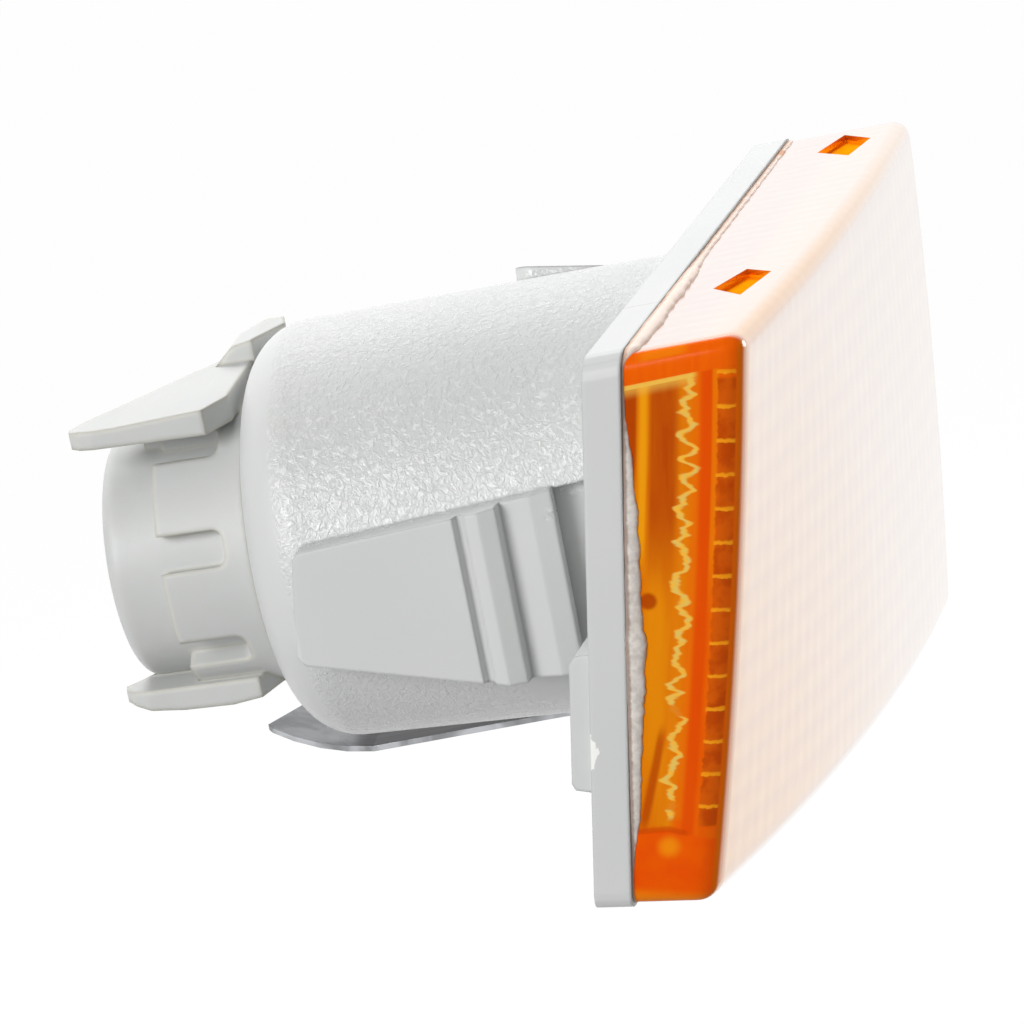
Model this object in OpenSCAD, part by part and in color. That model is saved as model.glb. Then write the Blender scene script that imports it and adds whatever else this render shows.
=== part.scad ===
/* [Body] */
// Radius of the round body where it leaves the plate
body_r = 18; // [17:0.1:20]
// Distance from the plate's back plane to the body's rear face
body_len = 33; // [31:0.5:38]
// Loss of radius for each millimetre towards the rear
body_draft = 0.026; // [0:0.002:0.04]
// Rounding of the body's rear edge
rear_round = 5; // [3:0.25:5]
// Wall of the body
body_wall = 1.8; // [1.4:0.1:2.2]
// Thickness of the body's rear wall
rear_wall = 2.4; // [2:0.1:3]

/* [Plate] */
// Thickness of the plate
plate_t = 2.9; // [2.4:0.1:3.5]
// Distance from the body's axis to the plate's near edge
near_w = 31.1; // [29:0.1:36]
// Distance from the body's axis to the plate's far edge
far_w = 35.4; // [30:0.1:40]
// Height of the plate above the body's axis
up_h = 19.3; // [19:0.1:24]
// Height of the plate below the body's axis
low_h = 24.8; // [21:0.1:28]
// Lean of the plate against the body's cross-section
plate_rake = 9.3; // [0:0.1:12]
// Turn of the plate in plan against the body's cross-section
plate_sweep = -7.1; // [-10:0.1:0]
// Rounding of the plate's four corners
corner_r = 1.6; // [1.2:0.1:3]

/* [Taper of the plate and the lens] */
// Rise of the top face for each millimetre forward
top_slope = 0.234; // [0:0.002:0.26]
// Rise of the bottom face for each millimetre forward
low_slope = 0.105; // [0:0.002:0.14]
// Run of the near face towards the middle for each millimetre forward
near_slope = 0.018; // [0:0.002:0.1]
// Run of the far face towards the middle for each millimetre forward
far_slope = 0.018; // [0:0.002:0.1]

/* [Lens] */
// Depth of the lens front at the top, near end, from the plate's back plane
top_near = 12; // [10:0.1:14]
// Depth of the lens front at the top, far end
top_far = 13.4; // [11:0.1:16]
// Bow of the top front edge
top_bow = 1.1; // [0:0.1:2]
// Depth of the lens front at the bottom, near end
low_near = 9.1; // [8:0.1:12]
// Depth of the lens front at the bottom, far end
low_far = 17.3; // [12:0.1:19]
// Bow of the bottom front edge
low_bow = 2.3; // [0:0.1:3]
// Bow of the lens front from bottom to top
rise_bow = 0.5; // [0:0.1:1]
// Step from the plate's edge in to the lens
lens_step = 0.35; // [0.2:0.05:0.8]
// Rounding of the lens's front edge
lens_round = 1.6; // [0.8:0.1:2]
// Wall of the lens
lens_wall = 2.2; // [1.8:0.1:2.6]
// Pitch of the ribs inside the lens front
rib_pitch = 2.75; // [2.2:0.05:4]
// Height of the ribs inside the lens front
rib_h = 0.7; // [0.3:0.05:1]
// Depth of the two notches in the top face
notch_depth = 0.7; // [0.3:0.1:1]

/* [Weld] */
// Radius of the weld bead where it is thin
bead_r = 0.42; // [0.3:0.02:0.6]
// Extra radius of the bead at its fullest place
bead_swell = 1.1; // [0.4:0.05:1.3]
// Share of the bead's radius that stands out from the lens's side
bead_flat = 0.5; // [0.35:0.05:0.8]

/* [Snap tongue] */
// Reach of the tongue's face beyond the body's surface
tongue_rise = 1.4; // [1:0.1:2]
// Thickness of the tongue
tongue_t = 2.4; // [2:0.1:2.8]
// Gap under the tongue
tongue_gap = 0.9; // [0.6:0.1:1.4]

/* [Spring leaf] */
// Thickness of the spring leaf
leaf_t = 0.5; // [0.3:0.05:0.8]
// Distance from the body's axis to the leaf's near edge, negative beyond the axis
leaf_near = -1; // [-3:0.1:0]
// Width of the leaf
leaf_w = 11; // [9:0.5:12]
// Slope of the leaf away from the body
leaf_fall = 2.9; // [1:0.1:4]
// Upward bend of the leaf's free end
leaf_bend = 31; // [20:1:36]
// Length of the leaf's bent end
leaf_end = 9.2; // [6:0.1:10]

/* [Bulb holder] */
// Radius of the holder's crown ring
crown_r = 12; // [11.8:0.05:12.2]
// Radius of the holder's barrel behind the crown
barrel_r = 10.2; // [9.8:0.1:10.8]
// Length of the crown ring
crown_len = 6.8; // [5.5:0.1:8]
// Length of the barrel behind the crown
barrel_len = 5.1; // [4:0.1:7]
// Radius of the holder's plug in the body's rear wall
plug_r = 9.7; // [9.4:0.05:9.8]
// Running clearance of the plug in the rear wall
plug_gap = 0.1; // [0.05:0.05:0.3]
// Number of grip notches around the crown
crown_notches = 8; // [8]
// Angle of one grip notch above the near side
notch_turn = 14.7; // [10:0.1:20]
// Width of a grip notch
grip_w = 3; // [2:0.1:4]
// Reach of the bayonet tabs beyond the plug
tab_reach = 1.9; // [1.6:0.1:2]
// Turn that unlocks the holder
lock_turn = 45; // [45]
// Thickness of the seal ring
seal_t = 0.8; // [0.5:0.1:1.5]

/* [Bulb] */
// Radius of the bulb's glass
bulb_r = 5.15; // [4.8:0.05:5.3]
// Length of the bulb
bulb_len = 26.8; // [25:0.1:28]

/* [Hidden] */
$fn = 96;
EPS = 0.01;
BIG = 120;

PLASTIC = [0.79, 0.80, 0.80];
AMBER = [0.93, 0.45, 0.05, 0.85];
STEEL = [0.72, 0.74, 0.77];
BRASS = [0.80, 0.66, 0.32];

// Outline of the plate, seen from the front, as points [x, z] on its back plane
SIDE_STEPS = 7;
LONG_STEPS = 12;
ARC_STEPS = 4;
ROUND_STEPS = 4;
HOLLOW_STEPS = 8;

// Bayonet lock between the holder and the rear wall
bore_r = plug_r + plug_gap;
tab_r = plug_r + tab_reach;
TAB_SPAN = 24;
SLOT_SPAN = 27;
TABS = 4;
tab_t = 2.2;
LOCK_PLAY = 0.1;
STOP_PLAY = 1.5;
SLOT_PLAY = 0.3;
STOP_SPAN = 90 - lock_turn - TAB_SPAN - 2 * STOP_PLAY;
STOP_AT = lock_turn + TAB_SPAN / 2 + STOP_PLAY + STOP_SPAN / 2;

rear_in = body_len - rear_wall;
plug_front = rear_in - LOCK_PLAY - tab_t - 0.8;
crown_y = body_len + seal_t;
rim_gap = 0.1;
rim_t = 0.8;
seal_inset = rim_t + rim_gap;
crown_end = crown_y + crown_len;
barrel_end = crown_end + barrel_len;

// Snap tongue on the near side: heights of its edges and steps along its length
tongue_rear = 28.1;
tongue_end = 29.4;
tongue_front = 7.2;
tongue_up_rear = 3.9;
tongue_up_front = 5.8;
tongue_low_rear = -5.4;
tongue_low_front = -9.3;
tongue_widest = 13;
tongue_face = body_r + tongue_rise;
pocket_rear = 25.6;
pocket_front = -2;
pocket_up_rear = 4.1;
pocket_up_front = 6.4;
pocket_low = -10.6;
pocket_floor = tongue_face - tongue_t - tongue_gap - 0.6;
pocket_wall = 1.5;

// Low pad behind the plate: its edges in the plate's frame
lug_inset = 0.8;
lug_w = 9;
lug_t = 1.7;
lug_top = -3.9;
lug_low = -15.1;

// Spring leaf under the body and the stake that holds it
leaf_front = 4;
leaf_seat = body_r + 0.95;
leaf_flat = 9;
leaf_slope_len = 16.5;
leaf_corner = 1.5;
leaf_slant = 2.2;
LEAF_STEPS = 4;
stake_x = 6;
stake_y = 8.5;
stake_r = 1.3;
stake_gap = 0.3;
stake_head = 2.3;
stake_head_t = 0.8;

// Grip wings above and below the holder: heights from the axis, lengths from the crown's front
upper_z = 11.7;
lower_z = 9.1;
wing_t = 2;
wing_rise = 1.3;
wing_reach = 13.1;
wing_root = 3.2;
wing_near = 9;
fin_top = 15.5;
fin_front = 2.4;

// Wedge socket of the bulb
socket_front = 25.7;
socket_r = 7.4;
bulb_seat = 31.5;
base_w = 9.2;
base_t = 2.3;
base_len = 6.5;
base_gap = 0.2;
terminal_t = 0.6;
terminal_w = 4;
blade_w = 2.8;
blade_z = 2.6;
socket_in_r = 8.4;
socket_floor = crown_end - 2;
blade_end = barrel_end - 2;

function mix(a, b, t) = a + (b - a) * t;
function along(p) = (p.x + near_w) / (near_w + far_w);
function above(p) = (p.y + low_h) / (low_h + up_h);
function bow(t) = 4 * t * (1 - t);

// Point of the plate's frame over the outline point p, at a depth in front of the back plane
function tapered(p, depth) = [
    p.x + depth * mix(near_slope, -far_slope, along(p)),
    -depth,
    p.y + depth * mix(low_slope, top_slope, above(p))
];

// Depth of the lens front over the outline point p
function front_depth(p) =
    let (
        u = along(p),
        v = above(p),
        low = mix(low_near, low_far, u) + low_bow * bow(u),
        top = mix(top_near, top_far, u) + top_bow * bow(u)
    )
    mix(low, top, v) + rise_bow * bow(v);

function corner(cx, cz, r, from, steps) =
    [for (i = [1:steps - 1]) let (a = from + 90 * i / steps) [cx + r * cos(a), cz + r * sin(a)]];
function side(a, b, steps) = [for (i = [0:steps]) mix(a, b, i / steps)];

// The plate's outline moved inwards, one closed loop of points [x, z]
function outline(inset, long_steps = LONG_STEPS, side_steps = SIDE_STEPS) =
    let (
        r = max(corner_r - inset, 1),
        x0 = -near_w + inset,
        x1 = far_w - inset,
        z0 = -low_h + inset,
        z1 = up_h - inset
    )
    concat(
        side([x0 + r, z0], [x1 - r, z0], long_steps),
        corner(x1 - r, z0 + r, r, -90, ARC_STEPS),
        side([x1, z0 + r], [x1, z1 - r], side_steps),
        corner(x1 - r, z1 - r, r, 0, ARC_STEPS),
        side([x1 - r, z1], [x0 + r, z1], long_steps),
        corner(x0 + r, z1 - r, r, 90, ARC_STEPS),
        side([x0, z1 - r], [x0, z0 + r], side_steps),
        corner(x0 + r, z0 + r, r, 180, ARC_STEPS)
    );

function level(loop, depth) = [for (p = loop) tapered(p, depth)];
function front_level(loop, drop) = [for (p = loop) tapered(p, front_depth(p) - drop)];
function shrunk(loop, k) = [for (p = loop) mix([(far_w - near_w) / 2, (up_h - low_h) / 2], p, k)];
function mean(points) = [for (axis = [0:2]) [for (p = points) 1] * [for (p = points) p[axis]] / len(points)];

// Closed solid over rings of equal length, the first at the rear and the last at the front
module skin(rings) {
    n = len(rings[0]);
    m = len(rings);
    points = concat([for (ring = rings) each ring], [mean(rings[0]), mean(rings[m - 1])]);
    walls = [
        for (j = [0:m - 2], i = [0:n - 1])
            let (a = j * n + i, b = j * n + (i + 1) % n)
            each [[a, b + n, b], [a, a + n, b + n]]
    ];
    rear = [for (i = [0:n - 1]) [m * n, i, (i + 1) % n]];
    front = [for (i = [0:n - 1]) [m * n + 1, (m - 1) * n + (i + 1) % n, (m - 1) * n + i]];
    polyhedron(points, concat(walls, rear, front));
}

// Turns the plate's own frame into the body's frame
module in_plate() {
    rotate([plate_rake, 0, plate_sweep]) children();
}

// Lays a shape turned about Z along the body's axis, its top to the rear
module along_y() {
    rotate([-90, 0, 0]) children();
}

// Extrudes an outline drawn in y and z along the x axis, from x0 to x1
module across_x(x0, x1) {
    translate([x0, 0, 0]) rotate([90, 0, 90]) linear_extrude(x1 - x0) children();
}

// Extrudes an outline drawn in x and y upwards, from z0 to z1
module upward(z0, z1) {
    translate([0, 0, z0]) linear_extrude(z1 - z0) children();
}

// Ring sector between two radii, centred on the given angle, from y0 to y1
module sector(r_in, r_out, angle, span, y0, y1) {
    translate([0, y0, 0]) along_y() rotate(angle - span / 2)
        rotate_extrude(angle = span) translate([r_in, 0]) square([r_out - r_in, y1 - y0]);
}

// The plate's slab, as far forward as the given depth
module plate_slab(inset, depth) {
    in_plate() skin([level(outline(inset), 0), level(outline(inset), depth)]);
}

// Everything in front of a plane parallel to the plate's back, at the given depth
module front_of(depth) {
    in_plate() translate([-BIG, -depth - 2 * BIG, -BIG]) cube([2 * BIG, 2 * BIG, 2 * BIG]);
}

// Half section of the body's outside, radius against distance along the axis
module body_section() {
    r1 = body_r - body_draft * (body_len - rear_round);
    difference() {
        union() {
            polygon([
                [0, -9], [body_r + 9 * body_draft, -9], [r1, body_len - rear_round], [0, body_len - rear_round]
            ]);
            translate([0, body_len - rear_round - EPS]) square([r1 - rear_round, rear_round + EPS]);
            translate([r1 - rear_round, body_len - rear_round]) circle(rear_round);
        }
        translate([-BIG, -BIG / 2]) square([BIG, BIG]);
    }
}

// Hollow of the body, open to the front
module hollow_section() {
    r0 = body_r - body_wall;
    r1 = r0 - body_draft * rear_in;
    polygon([[0, -20], [r0, -20], [r0, 0], [r1, rear_in - 2], [r1 - 2, rear_in], [0, rear_in]]);
}

// Outline of the snap tongue seen from the near side, y along and z up
module tongue_outline() {
    polygon([
        [tongue_rear, tongue_up_rear - 0.5],
        [tongue_rear - 0.5, tongue_up_rear],
        [tongue_front, tongue_up_front],
        [tongue_front, tongue_low_front],
        [tongue_widest, tongue_low_front + 0.3],
        [tongue_end - 0.7, tongue_low_rear],
        [tongue_end, tongue_low_rear + 0.7]
    ]);
}

// Section of the snap tongue seen from above, with its groove, its hook and its lower step
module tongue_section() {
    f = -tongue_face;
    polygon([
        [f + 0.6 + tongue_t, tongue_end],
        [f + 0.9, tongue_end],
        [f + 0.45, tongue_end - 0.5],
        [f - 0.2, 14.9],
        [f + 0.35, 14.6],
        [f + 0.35, 14.2],
        [f - 0.1, 13.9],
        [f - 0.3, 12.9],
        [f + 0.2, 11.5],
        [f + 1.3, 11.3],
        [f + 1.1, 8.9],
        [f + 1.5, tongue_front],
        [f + 0.6 + tongue_t, tongue_front],
        [f + 0.6 + tongue_t, 24],
        [f + 1.2 + tongue_t + tongue_gap, 25.6],
        [f + 1.2 + tongue_t + tongue_gap, tongue_end]
    ]);
}

module tongue() {
    intersection() {
        upward(-BIG / 2, BIG / 2) tongue_section();
        across_x(-BIG, 0) tongue_outline();
    }
}

// Recess of the body around the tongue
module pocket() {
    across_x(-BIG / 2, -pocket_floor) polygon([
        [pocket_rear, pocket_up_rear],
        [pocket_front, pocket_up_front],
        [pocket_front, pocket_low],
        [tongue_widest, pocket_low],
        [pocket_rear, tongue_low_rear - 1.2]
    ]);
}

// Wall of the recess towards the inside of the body
module pocket_box() {
    intersection() {
        across_x(-body_r, -pocket_floor + pocket_wall) polygon([
            [rear_in + EPS, pocket_up_rear + pocket_wall],
            [-8, pocket_up_front + pocket_wall + 0.5],
            [-8, pocket_low - pocket_wall],
            [rear_in + EPS, pocket_low - pocket_wall]
        ]);
        along_y() rotate_extrude() body_section();
    }
}

// Low pad behind the plate, below the tongue, that bears on the panel
module lug() {
    in_plate() across_x(-near_w + lug_inset, -near_w + lug_inset + lug_w) polygon([
        [-EPS, lug_low], [lug_t - 0.3, lug_low + 0.1], [lug_t, lug_low + 0.6],
        [lug_t, lug_top - 0.9], [lug_t - 0.5, lug_top - 0.2], [-EPS, lug_top]
    ]);
}

// Key rib on the far upper side of the body, lower towards the plate
module key_rib() {
    rotate([0, 23.5, 0]) intersection() {
        union() {
            translate([-1.6, -3, 0]) cube([3.2, 12.4, body_r + 2]);
            translate([0, 9.4, 0]) cylinder(r = 1.6, h = body_r + 2);
        }
        across_x(-2, 2) polygon([[-4, 0], [12, 0], [12, body_r + 1.1], [-4, body_r - 1.1]]);
    }
}

// Flat pad under the body for the spring leaf
module leaf_pad() {
    translate([stake_x - 4, -3, -leaf_seat]) cube([8, leaf_flat + leaf_front + 2, leaf_seat - 10]);
}

// Stake through the leaf, its head melted over
module leaf_stake() {
    translate([stake_x, stake_y, -leaf_seat - leaf_t - EPS]) cylinder(r = stake_r, h = leaf_t + 2);
    translate([stake_x, stake_y, -leaf_seat - leaf_t - stake_head_t]) cylinder(r = stake_head, h = stake_head_t);
}

// Bore and bayonet slots of the rear wall
module lock_opening() {
    translate([0, rear_in - 1, 0]) along_y() cylinder(r = bore_r, h = rear_wall + 2);
    for (i = [0:TABS - 1])
        sector(bore_r - 1, tab_r + SLOT_PLAY, 90 * i + lock_turn, SLOT_SPAN, rear_in - 1, body_len + 1);
}

// Stops on the inside of the rear wall that end the holder's turn both ways
module lock_stops() {
    for (i = [0:TABS - 1])
        sector(bore_r + 0.1, tab_r, 90 * i + STOP_AT, STOP_SPAN, rear_in - tab_t, rear_in + EPS);
}

module housing() {
    color(PLASTIC) difference() {
        union() {
            difference() {
                union() {
                    plate_slab(0, plate_t);
                    difference() {
                        union() {
                            along_y() rotate_extrude() body_section();
                            key_rib();
                            leaf_pad();
                        }
                        front_of(plate_t / 2);
                    }
                }
                along_y() rotate_extrude() hollow_section();
            }
            difference() {
                pocket_box();
                front_of(plate_t / 2);
            }
            lock_stops();
            leaf_stake();
        }
        difference() {
            pocket();
            front_of(0);
        }
        lock_opening();
    }
    color(PLASTIC) tongue();
    color(PLASTIC) lug();
}

// Lens material from the plate's front outwards, without the hollow
module lens_block(inset) {
    rounding = [
        for (k = [0:ROUND_STEPS])
            let (a = 90 * k / ROUND_STEPS)
            front_level(outline(inset + lens_round * (1 - cos(a))), lens_round * (1 - sin(a)))
    ];
    face = [for (k = [0.75, 0.5]) front_level(shrunk(outline(inset + lens_round), k), 0)];
    in_plate() skin(concat([level(outline(inset), plate_t)], rounding, face));
}

// Level cut through the lens's hollow over the height z, its front face drawn back by rib
function hollow_cut(z, rib) =
    let (x0 = -near_w + lens_step + lens_wall, x1 = far_w - lens_step - lens_wall)
    concat(
        [tapered([x0, z], plate_t - 1)],
        [
            for (i = [0:HOLLOW_STEPS])
                let (p = [mix(x0, x1, i / HOLLOW_STEPS), z])
                tapered(p, front_depth(p) - lens_wall - rib)
        ],
        [tapered([x1, z], plate_t - 1)]
    );

// Hollow of the lens with the level ribs behind its front, laid up from level cuts
module lens_hollow() {
    z0 = -low_h + lens_step + lens_wall;
    z1 = up_h - lens_step - lens_wall;
    ribs = floor((z1 - z0 - 0.6) / rib_pitch);
    pitch = (z1 - z0) / ribs;
    in_plate() skin([
        for (k = [0:ribs - 1])
            let (z = z0 + k * pitch)
            each [
                hollow_cut(z, 0),
                hollow_cut(z + pitch * 0.5, 0),
                hollow_cut(z + pitch * 0.62, rib_h),
                hollow_cut(z + pitch * 0.88, rib_h)
            ],
        hollow_cut(z1, 0)
    ]);
}

// Two slanted notches in the lens's top face, as points [x, depth]
module top_notches() {
    in_plate() translate([0, 0, up_h - lens_step - notch_depth]) rotate([-atan(top_slope), 0, 0])
        linear_extrude(5) {
            polygon([[-16.8, -6.9], [-10.9, -8.2], [-14.4, -11.1], [-20, -10.8]]);
            polygon([[26.4, -7.1], [31.1, -8.7], [28.7, -11.4], [22.5, -11.1]]);
        }
}

module lens() {
    color(AMBER) difference() {
        lens_block(lens_step);
        lens_hollow();
        top_notches();
    }
}

// Melt squeezed out of the joint between the plate and the lens
module weld_bead() {
    loop = outline(lens_step, 30, 22);
    n = len(loop);
    sides = 6;
    function swell(i) = let (p = loop[i], v = above(p), a = 37 * i)
        bead_r * (0.75 + 0.25 * sin(a) * cos(1.7 * a))
        + bead_swell * max(0, 1 - 9 * along(p)) * max(0, 1 - pow((v - 0.4) / 0.42, 2))
        * (0.85 + 0.15 * sin(2.3 * a));
    function normal(i) = let (d = loop[(i + 1) % n] - loop[(i + n - 1) % n]) [d.y, -d.x] / norm(d);
    points = [
        for (i = [0:n - 1], k = [0:sides - 1])
            let (r = swell(i), c = tapered(loop[i], plate_t + 0.85 * r), w = normal(i), a = 360 * k / sides)
            c + r * [bead_flat * w.x * cos(a), sin(a), bead_flat * w.y * cos(a)]
    ];
    faces = [
        for (i = [0:n - 1], k = [0:sides - 1])
            let (
                a = i * sides + k,
                b = i * sides + (k + 1) % sides,
                c = ((i + 1) % n) * sides + (k + 1) % sides,
                d = ((i + 1) % n) * sides + k
            )
            each [[a, c, b], [a, d, c]]
    ];
    color(PLASTIC) difference() {
        in_plate() polyhedron(points, faces);
        plate_slab(0, plate_t);
        lens_block(lens_step);
    }
}

// Point of the spring leaf's upper side at the k-th step of its upturned end, y and z
function leaf_point(k) = k == 0
    ? [leaf_front + leaf_flat + leaf_slope_len * cos(leaf_fall), -leaf_seat - leaf_slope_len * sin(leaf_fall)]
    : let (a = leaf_bend * k / LEAF_STEPS) leaf_point(k - 1) + leaf_end / LEAF_STEPS * [cos(a), sin(a)];

// Side view of the spring leaf, y along and z up
module leaf_section() {
    flat = [[leaf_front, -leaf_seat], [leaf_front + leaf_flat, -leaf_seat]];
    upper = [each flat, for (k = [0:LEAF_STEPS]) leaf_point(k)];
    polygon([each upper, for (k = [LEAF_STEPS + 2:-1:0]) upper[k] - [0, leaf_t]]);
}

// Plan of the spring leaf with its slanted free end
module leaf_plan() {
    near = -leaf_near;
    far = near + leaf_w;
    end = leaf_point(LEAF_STEPS).x;
    polygon([
        [near, 0], [far, 0], [far, end - leaf_slant - leaf_corner],
        [far - leaf_corner, end - leaf_slant], [near + 0.3, end], [near, end - 0.3]
    ]);
}

module spring_leaf() {
    color(STEEL) difference() {
        intersection() {
            across_x(-leaf_near, -leaf_near + leaf_w) leaf_section();
            upward(-BIG, 0) leaf_plan();
        }
        translate([stake_x, stake_y, -leaf_seat - 2]) cylinder(r = stake_r + stake_gap, h = 4);
    }
}

// Plan of a grip wing seen from above, y counted from the crown's front
module wing_plan() {
    n = wing_near;
    e = wing_reach;
    polygon([
        [-n, 1.5], [-n, e - 2.2], [-n + 0.3, e - 1], [-n + 1, e - 0.2], [-n + 2, e], [-n + 3.2, e - 1],
        [-1.5, e - 3.8], [1.7, e - 6.2], [4.9, e - 8.8], [7.4, e - 11], [7.4, 0], [-5.6, 0]
    ]);
}

// Side view of the upper wing: flat below, thinner towards the nose
module upper_wing_side() {
    top = upper_z + wing_t;
    polygon([
        [-0.3, upper_z], [wing_reach + 1, upper_z + 0.2], [wing_reach + 1, upper_z + wing_rise],
        [wing_reach - 1, upper_z + wing_rise + 0.4], [wing_reach - 4, top - 0.3], [2, top + 0.1], [-0.3, top + 0.1]
    ]);
}

// Side view of the lower wing, thinner towards the nose
module lower_wing_side() {
    top = lower_z + wing_t;
    polygon([
        [0, lower_z], [wing_reach + 1, lower_z - 0.1], [wing_reach, lower_z + 0.8],
        [wing_reach - 2.2, lower_z + 1.6], [wing_reach - 5, top - 0.1], [4, top], [0, top - 0.5]
    ]);
}

// Upturned fin at the far end of the upper wing
module wing_fin() {
    intersection() {
        upward(upper_z + 1, fin_top + 1) polygon([
            [4.6, 3], [7, 2.6], [11.6, -0.6], [11.6, -1.9], [9.4, -fin_front], [4.9, -0.3]
        ]);
        across_x(0, 20) polygon([
            [3.4, upper_z + 1.2], [3.1, upper_z + wing_t], [1.4, fin_top - 0.3], [-0.3, fin_top],
            [-fin_front - 1, fin_top - 0.1], [-fin_front - 1, fin_top - 1.2], [-0.3, upper_z + 1.2]
        ]);
    }
}

// Web between the crown and a wing
module wing_web(height) {
    upward(barrel_r - 2, height) translate([-wing_root, 0]) square([2 * wing_root, crown_len + 1.5]);
}

module grip_wings() {
    translate([0, crown_y, 0]) {
        intersection() {
            upward(0, BIG) wing_plan();
            across_x(-BIG, BIG) upper_wing_side();
        }
        wing_fin();
        wing_web(upper_z + 0.5);
        mirror([0, 0, 1]) intersection() {
            upward(0, BIG) wing_plan();
            across_x(-BIG, BIG) lower_wing_side();
        }
    }
}

// One grip notch of the crown, open to the rear and deepest at its front
module grip_notch() {
    translate([0, crown_y + 1.7, 0]) translate([0, 0, barrel_r - 1]) rotate([6, 0, 0])
        linear_extrude(6) {
            translate([-grip_w / 2, 0.8]) square([grip_w, 9]);
            translate([-grip_w / 2 + 0.8, 0]) square([grip_w - 1.6, 9]);
            for (x = [-1, 1]) translate([x * (grip_w / 2 - 0.8), 0.8]) circle(0.8);
        }
}

module crown() {
    difference() {
        union() {
            translate([0, crown_y, 0]) along_y() cylinder(r = crown_r, h = crown_len);
            translate([0, body_len + rim_gap, 0]) along_y() difference() {
                cylinder(r = crown_r, h = seal_t);
                translate([0, 0, -1]) cylinder(r = crown_r - rim_t, h = seal_t + 1 - rim_gap);
            }
        }
        for (i = [0:crown_notches - 1])
            rotate([0, -90 + notch_turn + 360 * i / crown_notches, 0]) grip_notch();
    }
}

// Solid behind the crown with a rounded rear edge, and the plug in front of it
module holder_core() {
    e = 1.2;
    translate([0, plug_front, 0]) along_y() cylinder(r = plug_r, h = crown_y - plug_front + EPS);
    translate([0, crown_y, 0]) along_y() cylinder(r = barrel_r, h = crown_len + barrel_len - e);
    translate([0, barrel_end - e, 0]) along_y() cylinder(r = barrel_r - e, h = e);
    translate([0, barrel_end - e, 0]) along_y() rotate_extrude() translate([barrel_r - e, 0]) circle(e);
    translate([0, socket_front, 0]) along_y() cylinder(r = socket_r, h = plug_front - socket_front + EPS);
}

// Hollows of the holder: wedge slot, terminal channels and the rear inlet
module holder_hollows() {
    w = base_w / 2 + base_gap;
    t = base_t / 2 + base_gap;
    translate([-w, socket_front - 1, -t]) cube([2 * w, bulb_seat - socket_front + 1 + base_gap, 2 * t]);
    for (s = [-1, 1]) scale_z(s)
        translate([-terminal_w / 2, socket_front - 1, t - EPS])
            cube([terminal_w, socket_floor - socket_front + 2, terminal_t + EPS]);
    translate([0, socket_floor, 0]) along_y() cylinder(r = socket_in_r, h = barrel_end - socket_floor + 1);
}

// Mirrors a shape to the underside when s is negative
module scale_z(s) {
    if (s < 0)
        mirror([0, 0, 1]) children();
    else
        children();
}

module bulb_holder() {
    color(PLASTIC) difference() {
        union() {
            crown();
            holder_core();
            for (i = [0:TABS - 1])
                sector(plug_r - 1, tab_r, 90 * i, TAB_SPAN, rear_in - LOCK_PLAY - tab_t, rear_in - LOCK_PLAY);
            grip_wings();
        }
        holder_hollows();
    }
}

module holder_seal() {
    color([0.15, 0.15, 0.15]) translate([0, body_len, 0]) along_y() difference() {
        cylinder(r = crown_r - seal_inset, h = seal_t);
        translate([0, 0, -1]) cylinder(r = plug_r + 0.3, h = seal_t + 2);
    }
}

// Contact strip at the bulb's base that ends as a blade in the inlet
module terminal() {
    t = base_t / 2 + base_gap;
    color(BRASS) translate([0, 0, t]) {
        translate([-terminal_w / 2, socket_front + 1, 0])
            cube([terminal_w, socket_floor - socket_front + 0.5, terminal_t]);
        upward(0, terminal_t) polygon([
            [-blade_w / 2, socket_floor], [-blade_w / 2, blade_end - 0.8], [-blade_w / 2 + 0.6, blade_end],
            [blade_w / 2 - 0.6, blade_end], [blade_w / 2, blade_end - 0.8], [blade_w / 2, socket_floor]
        ]);
    }
}

module terminal_upper() {
    terminal();
}

module terminal_lower() {
    mirror([0, 0, 1]) terminal();
}

// Capless bulb: glass envelope, its tip and the flat wedge base
module bulb() {
    glass = bulb_len - base_len;
    y0 = bulb_seat - bulb_len;
    color([0.9, 0.9, 0.92]) {
        translate([0, y0, 0]) along_y() rotate_extrude() intersection() {
            union() {
                translate([0, bulb_r]) circle(bulb_r);
                translate([0, bulb_r]) square([bulb_r, glass - bulb_r - 2.5]);
                polygon([
                    [0, glass - 2.6], [bulb_r, glass - 2.6], [bulb_r - 0.9, glass - 0.6], [3.9, glass + 0.4], [0, glass + 0.4]
                ]);
            }
            square([BIG, BIG]);
        }
        translate([-base_w / 2, bulb_seat - base_len, -base_t / 2]) cube([base_w, base_len, base_t]);
    }
}

housing();
lens();
weld_bead();
spring_leaf();
bulb_holder();
holder_seal();
terminal_upper();
terminal_lower();
bulb();
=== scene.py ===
import math

import bmesh
import bpy
from mathutils import Matrix, Vector, noise


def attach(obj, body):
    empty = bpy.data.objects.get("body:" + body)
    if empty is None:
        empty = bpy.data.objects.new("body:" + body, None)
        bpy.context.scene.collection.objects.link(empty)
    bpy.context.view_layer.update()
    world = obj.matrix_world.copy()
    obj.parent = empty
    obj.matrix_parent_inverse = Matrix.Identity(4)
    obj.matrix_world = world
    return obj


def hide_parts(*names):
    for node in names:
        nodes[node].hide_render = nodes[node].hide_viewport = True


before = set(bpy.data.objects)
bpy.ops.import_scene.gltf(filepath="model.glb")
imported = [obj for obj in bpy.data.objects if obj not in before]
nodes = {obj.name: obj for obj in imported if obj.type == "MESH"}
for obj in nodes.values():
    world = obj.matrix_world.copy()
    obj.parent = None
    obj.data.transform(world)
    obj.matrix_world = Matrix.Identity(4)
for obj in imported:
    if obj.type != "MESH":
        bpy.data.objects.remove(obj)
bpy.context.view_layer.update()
scene = bpy.context.scene

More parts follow.
